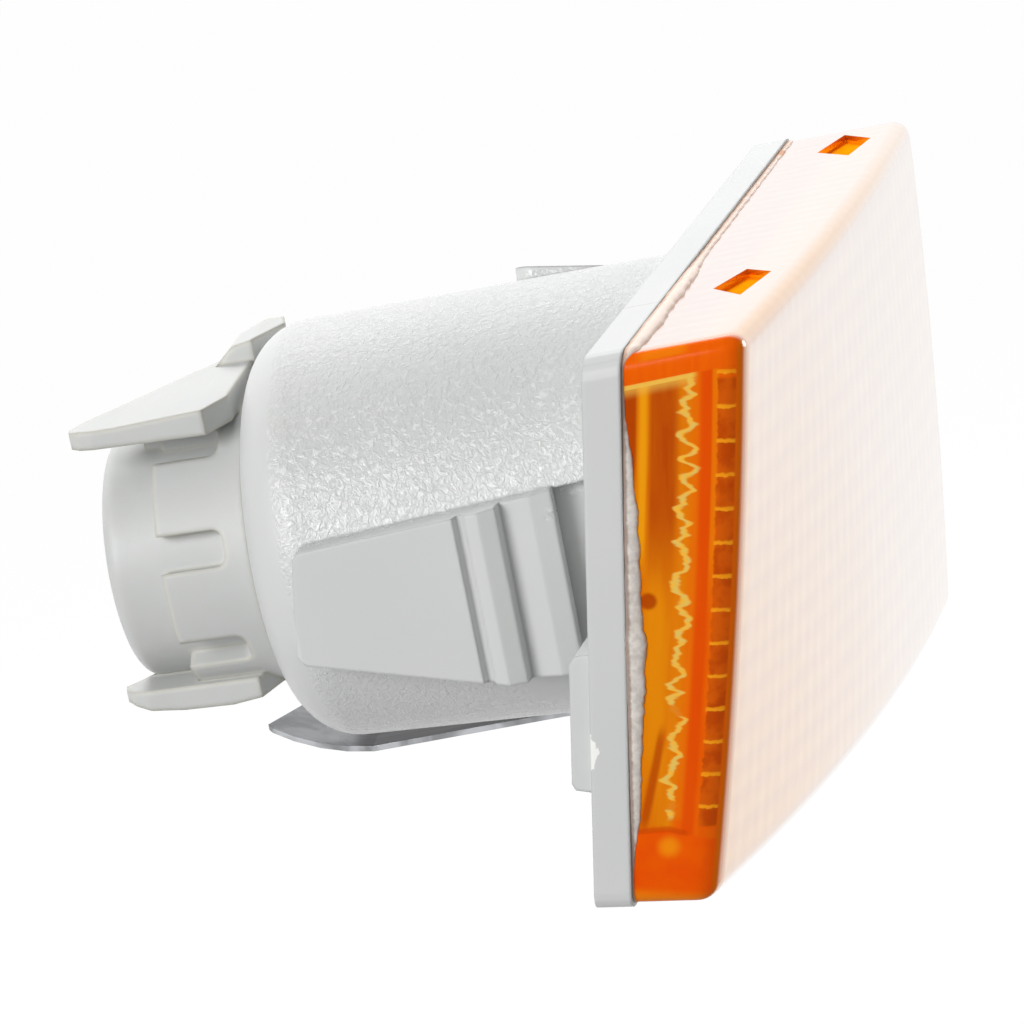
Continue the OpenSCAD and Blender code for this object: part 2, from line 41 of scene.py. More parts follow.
# Housing.
# One light grey polycarbonate moulding: slanted plate, body, snap tongue, pad and key rib. The
# body's mould is spark-eroded and leaves a leathery grain; the rest came from polished steel.
MM = 0.001
PLATE_RAKE, PLATE_SWEEP = 9.3, -7.1
GRAIN_INSIDE, GRAIN_OUTSIDE, GRAIN_REAR = 0.0160, 0.0186, 0.0299
POCKET_LOW, POCKET_UP, POCKET_REAR = -0.0135, 0.0036, 0.0128
CHIP_UP, CHIP_HALF = -0.0114, 0.0014


def paint(red, green, blue):
    parts = [c / 255 for c in (red, green, blue)]
    return (*[c / 12.92 if c <= 0.04045 else ((c + 0.055) / 1.055) ** 2.4 for c in parts], 1)


# A Graph adds nodes to one tree: add gives back a node, and the calls after it give outputs.
class Graph:
    def __init__(self, tree):
        self.tree = tree
        self.links = tree.links

    def fill(self, socket, value):
        if isinstance(value, bpy.types.NodeSocket):
            self.links.new(value, socket)
        else:
            socket.default_value = value

    def add(self, kind, inputs=None, **props):
        node = self.tree.nodes.new("ShaderNode" + kind)
        for key, value in props.items():
            setattr(node, key, value)
        for key, value in (inputs or {}).items():
            self.fill(node.inputs[key], value)
        return node

    def math(self, operation, *values):
        node = self.tree.nodes.new("ShaderNodeMath")
        node.operation = operation
        for socket, value in zip(node.inputs, values):
            self.fill(socket, value)
        return node.outputs[0]

    def times(self, first, *rest):
        for value in rest:
            first = self.math("MULTIPLY", first, value)
        return first

    def step(self, value, low, high):
        node = self.tree.nodes.new("ShaderNodeMapRange")
        node.interpolation_type = "SMOOTHSTEP"
        self.fill(node.inputs["Value"], value)
        node.inputs["From Min"].default_value = low
        node.inputs["From Max"].default_value = high
        return node.outputs["Result"]

    def band(self, value, middle, half, soft):
        away = self.math("ABSOLUTE", self.math("SUBTRACT", value, middle))
        return self.step(away, half + soft, half)

    def mix(self, factor, a, b):
        node = self.tree.nodes.new("ShaderNodeMix")
        node.data_type = "RGBA"
        for key, value in ((0, factor), (6, a), (7, b)):
            self.fill(node.inputs[key], value)
        return node.outputs[2]

    def over(self, base, tone, *masks):
        return self.mix(self.times(*masks), base, tone)

    def noise(self, vector, scale, detail=2.0, distortion=0.0):
        return self.add("TexNoise", {"Vector": vector, "Scale": scale, "Detail": detail,
                                     "Distortion": distortion}).outputs["Fac"]

    def stretched(self, vector, x, y, z):
        return self.add("VectorMath", {0: vector, 1: (x, y, z)}, operation="MULTIPLY").outputs[0]

    def split(self, vector):
        return self.add("SeparateXYZ", {0: vector}).outputs


def new_material(name):
    material = bpy.data.materials.new(name)
    material.use_nodes = True
    return material, Graph(material.node_tree), material.node_tree.nodes["Principled BSDF"]


def dress(node, material):
    mesh = nodes[node].data
    mesh.materials.clear()
    mesh.materials.append(material)


def spark_grain():
    group = bpy.data.node_groups.new("spark_grain", "ShaderNodeTree")
    group.interface.new_socket("Place", in_out="INPUT", socket_type="NodeSocketVector")
    for name in ("Height", "Crests", "Pits"):
        group.interface.new_socket(name, in_out="OUTPUT", socket_type="NodeSocketFloat")
    g = Graph(group)
    place = group.nodes.new("NodeGroupInput").outputs["Place"]
    result = group.nodes.new("NodeGroupOutput")
    warp = g.add("TexNoise", {"Vector": place, "Scale": 1150.0, "Detail": 2.0}).outputs["Color"]
    shift = g.add("VectorMath", {0: warp, 1: (0.5, 0.5, 0.5)}, operation="SUBTRACT").outputs[0]
    small = g.add("VectorMath", {0: shift, "Scale": 0.0008}, operation="SCALE").outputs[0]
    bent = g.add("VectorMath", {0: place, 1: small}, operation="ADD").outputs[0]
    folds = g.noise(bent, 2250.0, 2.0, 0.7)
    fine = g.noise(bent, 5600.0, 2.0)
    height = g.math("MULTIPLY_ADD", fine, 0.25, folds)
    group.links.new(height, result.inputs["Height"])
    group.links.new(g.step(folds, 0.57, 0.64), result.inputs["Crests"])
    group.links.new(g.step(folds, 0.46, 0.36), result.inputs["Pits"])
    return group


def rotated(g, vector, degrees, axis):
    inputs = {"Vector": vector, "Angle": math.radians(degrees)}
    return g.add("VectorRotate", inputs, rotation_type=axis + "_AXIS").outputs[0]


def in_plate_frame(g, place):
    return rotated(g, rotated(g, place, -PLATE_SWEEP, "Z"), -PLATE_RAKE, "X")


material, g, shader = new_material("housing_plastic")
place = g.add("TexCoord").outputs["Object"]
x, y, z = g.split(place)
radius = g.math("SQRT", g.math("ADD", g.math("MULTIPLY", x, x), g.math("MULTIPLY", z, z)))
under_tongue = g.times(g.step(z, POCKET_UP, POCKET_UP - 0.0003), g.step(z, POCKET_LOW, POCKET_LOW + 0.0005),
                       g.step(y, POCKET_REAR, POCKET_REAR - 0.0004), g.step(x, 0.0, -0.001))
on_body = g.times(g.step(radius, GRAIN_OUTSIDE, GRAIN_OUTSIDE - 0.0002),
                  g.step(y, GRAIN_REAR, GRAIN_REAR - 0.0006),
                  g.step(radius, GRAIN_INSIDE, GRAIN_INSIDE + 0.0003), g.math("SUBTRACT", 1.0, under_tongue))
grain = g.add("Group")
grain.node_tree = spark_grain()
g.links.new(place, grain.inputs["Place"])
rounded = g.add("Bevel", {"Radius": 0.0004}, samples=4).outputs[0]
fine = g.noise(place, 2600.0, 3.0)
skin = g.add("Bump", {"Strength": 0.12, "Distance": 0.00005, "Height": fine, "Normal": rounded}).outputs[0]
relief = grain.outputs["Height"]
bump = g.add("Bump", {"Strength": on_body, "Distance": 0.00011, "Height": relief, "Normal": skin})
g.links.new(bump.outputs[0], shader.inputs["Normal"])
cloud = g.noise(place, 60.0, 3.0)
grey = g.mix(cloud, paint(197, 199, 198), paint(206, 207, 206))
stain = g.step(g.noise(g.stretched(place, 1, 0.5, 1), 85.0, 3.0), 0.58, 0.72)
grey = g.over(grey, paint(214, 204, 172), stain, on_body, g.step(z, 0.010, 0.016), 0.4)
# Painted highlights: the grain's crests are lightened as glints, most in a band across the body's middle
# height. Painted shade darkens the grain's pits.
glint_band = g.math("MULTIPLY_ADD", g.band(z, 0.0075, 0.0035, 0.004), 0.38, 0.07)
grey = g.over(grey, paint(236, 237, 236), grain.outputs["Crests"], on_body, glint_band)
grey = g.over(grey, paint(156, 157, 156), grain.outputs["Pits"], on_body, 0.10)
px, py, pz = g.split(in_plate_frame(g, place))
ragged = g.math("MULTIPLY_ADD", g.noise(place, 1700.0, 2.0), 0.0011, -0.00055)
from_chip = g.math("ABSOLUTE", g.math("ADD", pz, 0.0116))
chip_reach = g.math("SUBTRACT", 0.0007, g.math("MULTIPLY", from_chip, 0.42))
chip = g.times(g.step(g.math("ADD", g.math("ADD", py, chip_reach), ragged), -0.00006, 0.00006),
               g.step(px, -0.0306, -0.0308), g.band(pz, CHIP_UP, CHIP_HALF, 0.0002))
grey = g.mix(chip, grey, paint(243, 243, 240))
scar = g.times(g.band(px, -0.0172, 0.00004, 0.00005), g.step(pz, 0.0186, 0.0189), 0.55)
grey = g.mix(scar, grey, paint(150, 146, 140))
g.links.new(grey, shader.inputs["Base Color"])
rough = g.math("MULTIPLY_ADD", on_body, -0.14, g.math("MULTIPLY_ADD", g.noise(place, 900.0, 2.0), 0.14, 0.36))
g.links.new(rough, shader.inputs["Roughness"])
dress("housing", material)

# Lens.
# An amber acrylic moulding with a 2 mm wall, open to the rear and hot-plate welded to the plate.
# Its front leans and bows over level ribs, and two slanted notches are in its top.
plate_turn = (Matrix.Rotation(math.radians(PLATE_SWEEP), 4, "Z")
              @ Matrix.Rotation(math.radians(PLATE_RAKE), 4, "X"))
NEAR, FAR, UP, LOW = 31.1, 35.4, 19.3, 24.8
PLATE_T = 2.9
STEP, CORNER, ROUND, WALL, RIB, RIBS = 0.35, 1.6, 1.6, 2.2, 0.7, 14
NOTCH_DEPTH = 0.7
SIDE_SLOPE, LOW_SLOPE, TOP_SLOPE = 0.018, 0.105, 0.234
LOW_EDGE, TOP_EDGE = (9.1, 17.3, 2.3), (12.0, 13.4, 1.1)
UPRIGHT_BOW = 0.5
LENS_STEPS = (66, 44, 6)
RIB_SHAPE = ((0, 0), (0.2, 0), (0.4, 0), (0.5, 0.05), (0.58, 0.5), (0.66, 0.9), (0.75, 1), (0.84, 0.9),
             (0.92, 0.5))
INNER_LOW, INNER_UP = -LOW + STEP + WALL, UP - STEP - WALL
RIB_PITCH = (INNER_UP - INNER_LOW) / RIBS


def mix(a, b, t):
    return a + (b - a) * t


def hump(t):
    return 4 * t * (1 - t)


def tapered(x, z, depth):
    u, v = (x + NEAR) / (NEAR + FAR), (z + LOW) / (LOW + UP)
    aside, upward = mix(SIDE_SLOPE, -SIDE_SLOPE, u), mix(LOW_SLOPE, TOP_SLOPE, v)
    return Vector((x + depth * aside, -depth, z + depth * upward))


# The front stands out from the plate by the depths at its near and far ends and the bow between.
def front_depth(x, z):
    u, v = (x + NEAR) / (NEAR + FAR), (z + LOW) / (LOW + UP)
    low, top = [mix(near, far, u) + bow * hump(u) for near, far, bow in (LOW_EDGE, TOP_EDGE)]
    return mix(low, top, v) + UPRIGHT_BOW * hump(v)


def loop_points(inset, long_steps, side_steps, arc_steps):
    x0, x1, z0, z1 = -NEAR + inset, FAR - inset, -LOW + inset, UP - inset
    r = max(CORNER - inset, 0.5)
    points = []
    for (ax, az), (bx, bz), steps, (cx, cz), start in (
        ((x0 + r, z0), (x1 - r, z0), long_steps, (x1 - r, z0 + r), -90),
        ((x1, z0 + r), (x1, z1 - r), side_steps, (x1 - r, z1 - r), 0),
        ((x1 - r, z1), (x0 + r, z1), long_steps, (x0 + r, z1 - r), 90),
        ((x0, z1 - r), (x0, z0 + r), side_steps, (x0 + r, z0 + r), 180),
    ):
        points += [(mix(ax, bx, i / steps), mix(az, bz, i / steps)) for i in range(steps + 1)]
        for i in range(1, arc_steps):
            a = math.radians(start + 90 * i / arc_steps)
            points.append((cx + r * math.cos(a), cz + r * math.sin(a)))
    return points


def grid(bm, rows, closed=True):
    made = [[bm.verts.new(plate_turn @ p * MM) for p in row] for row in rows]
    for a, b in zip(made, made[1:]):
        n = len(a)
        for i in range(n if closed else n - 1):
            j = (i + 1) % n
            bm.faces.new((a[i], a[j], b[j], b[i]))
    return made


def add_piece(name, bm, material, body, *stands_for):
    mesh = bpy.data.meshes.new(name)
    bmesh.ops.recalc_face_normals(bm, faces=bm.faces)
    bm.to_mesh(mesh)
    bm.free()
    for face in mesh.polygons:
        face.use_smooth = True
    mesh.materials.append(material)
    piece = bpy.data.objects.new(name, mesh)
    scene.collection.objects.link(piece)
    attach(piece, body)
    if stands_for:
        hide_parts(*stands_for)
    return piece


def lens_mesh():
    bm = bmesh.new()
    loop = loop_points(STEP, *LENS_STEPS)
    rows = [[tapered(x, z, mix(PLATE_T, front_depth(x, z) - ROUND, k / 6)) for x, z in loop]
            for k in range(6)]
    for k in range(9):
        a = math.radians(90 * k / 8)
        ring = loop_points(STEP + ROUND * (1 - math.cos(a)), *LENS_STEPS)
        rows.append([tapered(x, z, front_depth(x, z) - ROUND * (1 - math.sin(a))) for x, z in ring])
    cx, cz = (FAR - NEAR) / 2, (UP - LOW) / 2
    for k in range(1, 24):
        inner = [(mix(x, cx, k / 24), mix(z, cz, k / 24)) for x, z in ring]
        rows.append([tapered(x, z, front_depth(x, z)) for x, z in inner])
    outer = grid(bm, rows)
    middle = bm.verts.new(plate_turn @ tapered(cx, cz, front_depth(cx, cz)) * MM)
    last = outer[-1]
    for i, vert in enumerate(last):
        bm.faces.new((vert, last[(i + 1) % len(last)], middle))
    x0, x1 = -NEAR + STEP + WALL, FAR - STEP - WALL
    levels = [(INNER_LOW + (k + part) * RIB_PITCH, high * RIB)
              for k in range(RIBS) for part, high in RIB_SHAPE]
    levels.append((INNER_UP, 0))
    cuts = []
    for z, rib in levels:
        sides = [[tapered(x, z, mix(PLATE_T, front_depth(x, z) - WALL - rib, k / 4)) for k in range(4)]
                 for x in (x0, x1)]
        across = [mix(x0, x1, i / 40) for i in range(41)]
        roof = [tapered(x, z, front_depth(x, z) - WALL - rib) for x in across]
        cuts.append(sides[0] + roof + sides[1][::-1])
    hollow = grid(bm, cuts, closed=False)
    bm.faces.new(hollow[0])
    bm.faces.new(hollow[-1])
    rim = list(zip(outer[0], outer[0][1:] + outer[0][:1]))
    for line in ([row[0] for row in hollow], [row[-1] for row in hollow]):
        rim += zip(line, line[1:])
    rim += [(row[0], row[-1]) for row in (hollow[0], hollow[-1])]
    bmesh.ops.bridge_loops(bm, edges=[bm.edges.get(pair) for pair in rim])
    return bm


def notch_cutter(corners):
    bm = bmesh.new()
    sunk = Matrix.Translation((0, 0, UP - STEP - NOTCH_DEPTH))
    tilt = plate_turn @ sunk @ Matrix.Rotation(-math.atan(TOP_SLOPE), 4, "X")
    rings = [[bm.verts.new(tilt @ Vector((x, -depth, z)) * MM) for x, depth in corners] for z in (0, 5)]
    bm.faces.new(rings[0])
    bm.faces.new(rings[1])
    for i in range(4):
        j = (i + 1) % 4
        bm.faces.new((rings[0][i], rings[0][j], rings[1][j], rings[1][i]))
    bmesh.ops.recalc_face_normals(bm, faces=bm.faces)
    mesh = bpy.data.meshes.new("notch")
    bm.to_mesh(mesh)
    bm.free()
    cutter = bpy.data.objects.new("notch", mesh)
    scene.collection.objects.link(cutter)
    return cutter


NOTCHES = (((-14.8, 6.8), (-10.4, 8.6), (-12.6, 11.0), (-18.3, 9.7)),
           ((27.2, 7.1), (32.3, 8.6), (29.0, 11.5), (23.7, 10.5)))
material, g, shader = new_material("amber_lens")
lens = add_piece("amber_lens", lens_mesh(), material, "lamp", "lens")
for corners in NOTCHES:
    cut = lens.modifiers.new("notch", "BOOLEAN")
    cut.operation, cut.solver, cut.object = "DIFFERENCE", "EXACT", notch_cutter(corners)
carved = bpy.data.meshes.new_from_object(lens.evaluated_get(bpy.context.evaluated_depsgraph_get()))
for cut in list(lens.modifiers):
    bpy.data.objects.remove(cut.object)
    lens.modifiers.remove(cut)
lens.data = carved
lens.data.set_sharp_from_angle(angle=math.radians(38))

# The lens's colours are laid out in the plate's millimetres: across it, behind its front and up
# it. These places are kept on the mesh, so the colours follow the moulding. On the side walls the
# ribs' ends, the saw-toothed edge of their ramp and the cup behind them are painted as seen through the clear
# wall.
flat = plate_turn.inverted()
spots = []
for vert in lens.data.vertices:
    p = flat @ vert.co / MM
    spots += [p.x, front_depth(p.x, p.z) + p.y, p.z]
lens.data.attributes.new("lens_place", "FLOAT_VECTOR", "POINT").data.foreach_set("vector", spots)
place = g.add("Attribute", attribute_name="lens_place").outputs["Vector"]
across, front, high = g.split(place)
deep = g.math("SUBTRACT", g.math("MULTIPLY_ADD", high, 0.068, 10.6), front)
streaks = g.noise(g.stretched(place, 1, 1, 0.12), 1.3, 3.0, 0.4)
blotch = g.noise(place, 0.55, 3.0)
speck = g.noise(place, 2.4, 3.0)
colour = g.mix(streaks, paint(232, 80, 0), paint(243, 112, 3))

# The cup behind the clear wall: ochre, browner at the top, with light and dark streaks.
ochre = g.mix(streaks, paint(214, 98, 0), paint(238, 150, 8))
colour = g.over(colour, ochre, g.step(front, 3.5, 4.3), g.step(high, -18.2, -17.0), 0.9)
brown = g.times(g.step(front, 4.4, 5.0), g.step(front, 7.2, 6.7), g.step(high, 0.0, 9.0))
colour = g.over(colour, paint(188, 72, 2), brown, g.math("MULTIPLY_ADD", streaks, 0.8, 0.5))
colour = g.over(colour, paint(184, 68, 0), g.step(front, 7.8, 8.1), g.step(high, 8.0, 12.0))
colour = g.over(colour, paint(242, 158, 14), g.band(front, 7.45, 0.12, 0.3), g.step(high, 2.5, 6.0), 0.95)
leaning = g.math("MULTIPLY_ADD", high, -0.05, front)
low_streak = g.times(g.band(leaning, 6.2, 0.35, 0.7), g.step(high, 4.0, 0.0), g.step(high, -16.0, -10.0))
colour = g.over(colour, paint(236, 142, 6), low_streak, 0.75)
leaning = g.math("MULTIPLY_ADD", high, 0.12, front)
dark_streak = g.times(g.band(leaning, 4.0, 0.12, 0.4), g.band(high, -13.5, 3.0, 2.0))
colour = g.over(colour, paint(186, 66, 0), dark_streak, 0.8)

# The saw-toothed edge of the ramp: where each tooth turns, as height and distance behind the front.
TEETH = ((-17.5, 4.1), (-16.5, 3.9), (-14.7, 4.0), (-13.5, 4.7), (-11.6, 3.9), (-10.2, 4.6), (-8.5, 3.8),
         (-6.7, 4.7), (-6.3, 3.9), (-5.7, 4.9), (-4.9, 3.8), (-3.8, 4.7), (-1.2, 3.9), (1.1, 4.0), (2.2, 4.8),
         (4.2, 3.8), (5.4, 4.7), (7.1, 3.9), (7.9, 4.9), (9.7, 3.9), (10.4, 4.5), (11.4, 3.4), (12.0, 4.4),
         (12.8, 3.5), (13.7, 4.7), (14.8, 3.5), (15.6, 4.8), (17.0, 3.9), (17.7, 4.4), (18.3, 4.0))
RAMP_FOOT, RAMP_HEIGHT, RAMP_DEPTH = 18.0, 36.6, 6.0
ramp = g.add("ValToRGB", {0: g.math("DIVIDE", g.math("ADD", high, RAMP_FOOT), RAMP_HEIGHT)})
for z, behind in TEETH:
    stop = ramp.color_ramp.elements.new((z + RAMP_FOOT) / RAMP_HEIGHT)
    stop.color = (*[behind / RAMP_DEPTH] * 3, 1)
kinks = g.math("MULTIPLY_ADD", g.noise(g.stretched(place, 0, 0.2, 1), 1.7, 1.0), 1.9, -0.95)
tooth = g.math("MULTIPLY_ADD", ramp.outputs["Color"], RAMP_DEPTH, kinks)
on_ramp = g.step(high, -16.9, -16.3)
saw = g.times(g.band(g.math("SUBTRACT", front, tooth), 0.0, 0.12, 0.32), g.step(high, 18.6, 18.2), on_ramp)
broken = g.math("MAXIMUM", g.band(high, -7.8, 0.35, 0.2), g.band(high, -15.5, 0.3, 0.2))
whole = g.math("SUBTRACT", 1.0, g.times(broken, 0.9))
colour = g.over(colour, paint(236, 128, 6), g.step(front, 2.9, 3.3), g.step(front, 5.3, 4.7), on_ramp, 0.45)
pale_line = g.mix(g.step(speck, 0.35, 0.65), paint(248, 186, 62), paint(230, 194, 98))
colour = g.over(colour, pale_line, saw, whole)
colour = g.over(colour, paint(230, 72, 0), g.band(front, 2.75, 0.25, 0.5), 0.75)

# The ribs' ends just behind the front: dark squares with a bright tick between each two.
TICK_PITCH, TICK_TOP = 2.64, 18.95
colour = g.over(colour, paint(240, 144, 8), g.band(front, 2.12, 0.1, 0.22), g.step(high, -2.0, 6.0), 0.45)
uneven_high = g.math("MULTIPLY_ADD", speck, 0.35, high)
turn = g.math("FRACT", g.math("DIVIDE", g.math("SUBTRACT", uneven_high, TICK_TOP), TICK_PITCH))
squares = g.times(g.step(g.math("MULTIPLY_ADD", speck, 0.5, front), 2.3, 2.05), g.step(front, 0.62, 0.78),
                  g.step(high, -17.2, -16.9), g.step(high, 18.6, 18.2))
shade = g.mix(g.step(blotch, 0.4, 0.6), paint(212, 90, 6), paint(186, 66, 2))
colour = g.over(colour, shade, squares, 0.85)
tick = g.times(g.math("MAXIMUM", g.step(turn, 0.13, 0.06), g.step(turn, 0.97, 1.0)), g.step(front, 2.1, 1.9),
               g.step(front, 0.62, 0.78), g.step(high, -17.4, -17.0), g.step(high, 19.4, 19.0))
colour = g.over(colour, g.mix(speck, paint(244, 140, 8), paint(254, 176, 36)), tick, 0.95)

# The thick roof and floor of the moulding, with the bright line under the roof, the sprue's
# blob in the floor and the dark dot in the cup.
above = g.math("SUBTRACT", high, g.math("MULTIPLY_ADD", deep, 0.25, 16.62))
colour = g.over(colour, g.mix(streaks, paint(236, 84, 0), paint(246, 108, 4)), g.step(above, -0.05, 0.1))
colour = g.over(colour, paint(244, 134, 8), g.band(above, 1.9, 0.12, 0.3), g.band(deep, 5.8, 1.2, 1.2), 0.6)
glow = g.times(g.step(above, -1.1, -0.2), g.step(above, 0.0, -0.1), 0.6)
ridge = g.math("MAXIMUM", g.band(above, -0.1, 0.12, 0.12), glow)
colour = g.over(colour, paint(243, 190, 78), g.step(front, 3.3, 3.9), ridge)
bent = g.math("MULTIPLY_ADD", g.math("ABSOLUTE", g.math("SUBTRACT", front, 4.2)), -0.18, -17.6)
below = g.math("SUBTRACT", high, bent)
colour = g.over(colour, g.mix(blotch, paint(234, 70, 0), paint(242, 98, 0)), g.step(below, 0.25, -0.1))
colour = g.over(colour, paint(204, 62, 0), g.band(below, 0.15, 0.1, 0.25), g.step(front, 2.4, 3.0), 0.6)
on_wall = g.add("CombineXYZ", {0: 0.0, 1: front, 2: high}).outputs[0]
for behind, z, full, fading, strength, tone in (
    (4.0, -18.9, 0.2, 1.3, 0.85, paint(248, 146, 12)),
    (6.75, 0.8, 0.45, 0.85, 0.9, paint(178, 62, 0)),
):
    away = g.add("VectorMath", {0: on_wall, 1: (0.0, behind, z)}, operation="DISTANCE").outputs["Value"]
    colour = g.over(colour, tone, g.step(away, fading, full), strength)
colour = g.over(colour, paint(242, 128, 8), g.step(high, -22.2, -23.4))
colour = g.over(colour, paint(222, 106, 0), g.step(front, 0.75, 0.5))

# The front and the top: plain amber with the level ribs behind it, and painted light on the notch floors.
on_side = g.math("MAXIMUM", g.step(across, -29.0, -29.3), g.step(across, 33.2, 33.6))
rib_turn = g.math("FRACT", g.math("DIVIDE", g.math("SUBTRACT", high, INNER_LOW), RIB_PITCH))
amber = g.mix(blotch, paint(218, 96, 2), paint(232, 118, 8))
level = g.mix(g.band(rib_turn, 0.72, 0.1, 0.22), amber, paint(246, 160, 34))
level = g.over(level, paint(188, 72, 2), g.band(rib_turn, 0.3, 0.05, 0.15), 0.5)
colour = g.mix(on_side, level, colour)
sunk = g.math("SUBTRACT", g.math("MULTIPLY_ADD", deep, TOP_SLOPE, UP - STEP), high)
at_notch = g.math("MAXIMUM", g.band(across, -14.3, 4.2, 0.2), g.band(across, 28.0, 4.6, 0.2))
in_notch = g.times(g.step(sunk, 0.1, 0.2), g.step(sunk, 1.1, 0.95), g.step(front, 0.9, 1.1), at_notch)
outside = g.math("SUBTRACT", 1.0, in_notch)
# Painted light: the notch floors are a brighter orange than the rest of the lens.
colour = g.mix(in_notch, colour, g.mix(streaks, paint(244, 128, 2), paint(254, 158, 12)))
g.links.new(colour, shader.inputs["Base Color"])
shader.inputs["Roughness"].default_value = 0.12
shader.inputs["IOR"].default_value = 1.49
clear = g.times(g.math("MULTIPLY_ADD", on_side, -0.1, 0.15), outside)
g.fill(shader.inputs["Transmission Weight"], clear)
shine = g.times(g.math("MULTIPLY_ADD", on_side, -0.48, 0.5), outside)
g.fill(shader.inputs["Specular IOR Level"], shine)

# The polished front and top mirror the room more the flatter they are looked at. The ribs'
# fine flutes and two thin scratches on the top break the sheen.
FLUTE = 1.95
flutes = g.math("SINE", g.math("MULTIPLY", across, 2 * math.pi / FLUTE))
uneven = g.noise(g.stretched(place, 1, 1, 0.4), 0.8, 3.0)
waves = g.times(g.step(uneven, 0.35, 0.6), 0.018)
ripple = g.math("MULTIPLY_ADD", flutes, waves, g.math("MULTIPLY_ADD", uneven, 0.06, 0.965))
facing = g.add("LayerWeight", {"Blend": 0.5}).outputs["Facing"]
normal = g.split(g.add("NewGeometry").outputs["Normal"])
lid = g.times(g.step(normal[2], 0.6, 0.9), 0.08)
low = g.math("MULTIPLY", g.step(facing, 0.12, 0.62), 0.74)
flattest = g.add("MapRange", {"Value": facing, "From Min": 0.65, "From Max": 0.85}).outputs[0]
sheen = g.math("ADD", g.math("ADD", low, lid), g.times(flattest, 0.10))
sheen = g.times(sheen, g.step(across, -29.95, -29.65), g.step(across, 34.25, 33.95), ripple, outside)
slant = g.band(g.math("MULTIPLY_ADD", deep, -0.57, across), -15.5, 0.03, 0.05)
scratch = g.math("MAXIMUM", slant, g.band(across, 30.2, 0.03, 0.05))
scratch = g.times(scratch, g.step(high, 18.6, 18.9), g.step(deep, 7.2, 6.6), 0.12)
sheen = g.math("SUBTRACT", sheen, scratch)
tint = g.mix(g.step(facing, 0.60, 0.80), (1.0, 0.86, 0.74, 1), (1.0, 0.99, 0.975, 1))
gloss = g.add("BsdfGlossy", {"Color": tint, "Roughness": 0.16})
skin = g.add("MixShader", {0: sheen, 1: shader.outputs[0], 2: gloss.outputs[0]})
g.links.new(skin.outputs[0], material.node_tree.nodes["Material Output"].inputs["Surface"])

# Weld bead.
# Housing and lens plastic pressed out of the joint by the welding: pale, lumpy and widest on
# the near side, thin everywhere else, with a dark line of painted shade where it meets the plate.
BEAD = ((-24.5, 0.08), (-22.0, 0.1), (-20.5, 0.16), (-18.5, 0.32), (-16.6, 0.54), (-13.4, 0.57),
        (-10.2, 0.72), (-7.0, 0.88), (-3.1, 0.9), (0.5, 0.75), (7.2, 0.66), (11.2, 0.42), (14.4, 0.16),
        (17.5, 0.12), (19.5, 0.2))
BEAD_STEPS, BEAD_SIDES = (150, 130, 5), 14
TOP_BEAD = ((-31, 0.42), (-26, 0.62), (-10, 0.55), (-4, 0.2), (36, 0.12))


def along_table(table, at):
    for (a, low), (b, high) in zip(table, table[1:]):
        if at <= b:
            return mix(low, high, max(0, (at - a) / (b - a)))
    return table[-1][1]


def bead_radius(x, z):
    lump = noise.noise(Vector((x, z, 3)) * 0.9) * 0.13 + noise.noise(Vector((x, z, 9)) * 2.6) * 0.06
    near = min(1, max(0, -NEAR + CORNER - x))
    top = min(1, max(0, (z - UP + 1.3) / 0.8)) * along_table(TOP_BEAD, x)
    return max(0.1, mix(0.2 + top, along_table(BEAD, z), near) * (1 + 1.2 * lump))


def bead_mesh():
    loop = loop_points(STEP, *BEAD_STEPS)
    rows = []
    for i, (x, z) in enumerate(loop):
        (ax, az), (bx, bz) = loop[i - 1], loop[(i + 1) % len(loop)]
        run = math.hypot(bx - ax, bz - az)
        out = ((bz - az) / run, (ax - bx) / run)
        r = bead_radius(x, z)
        row = []
        for k in range(BEAD_SIDES):
            a = 2 * math.pi * k / BEAD_SIDES
            rough = 1 + 0.1 * noise.noise(Vector((x, z, 5 * math.cos(a))) * 3.1)
            wide = r * rough * math.cos(a) * 0.5
            deep = PLATE_T + 0.6 * r + r * rough * math.sin(a)
            row.append(tapered(x, z, deep) + Vector((out[0] * wide, 0, out[1] * wide)))
        rows.append(row)
    rows.append(rows[0])
    bm = bmesh.new()
    grid(bm, rows)
    bmesh.ops.remove_doubles(bm, verts=bm.verts, dist=1e-7)
    return bm


material, g, shader = new_material("melt")
place = g.add("TexCoord").outputs["Object"]
px, py, pz = g.split(in_plate_frame(g, place))
reach = g.math("MULTIPLY_ADD", py, -1.0, -PLATE_T * MM)
clump = g.noise(place, 1900.0, 3.0, 0.3)
pale = g.mix(g.step(clump, 0.3, 0.7), paint(198, 191, 184), paint(220, 214, 207))
on_top = g.step(pz, 0.0188, 0.0192)
pale = g.mix(g.times(on_top, 0.75), pale, paint(236, 214, 200))
# Painted shade: a dark brown line along the bead where it meets the plate, lighter on the top.
painted_seam_shade = g.times(g.step(g.math("MULTIPLY_ADD", clump, 0.0003, reach), 0.00058, 0.00036), 0.8)
pale = g.mix(painted_seam_shade, pale, g.mix(on_top, paint(134, 108, 94), paint(190, 152, 128)))
residue = g.times(g.band(px, 0.0294, 0.0006, 0.0005), on_top, 0.8)
pale = g.mix(residue, pale, paint(196, 132, 84))
g.links.new(pale, shader.inputs["Base Color"])
shader.inputs["Roughness"].default_value = 0.38
shader.inputs["Subsurface Weight"].default_value = 0.2
shader.inputs["Subsurface Radius"].default_value = (0.0006, 0.0004, 0.0003)
shader.inputs["Subsurface Scale"].default_value = 1.0
bump = g.add("Bump", {"Strength": 0.5, "Distance": 0.00006, "Height": clump})
g.links.new(bump.outputs[0], shader.inputs["Normal"])
bead = add_piece("melt_bead", bead_mesh(), material, "lamp", "weld_bead")

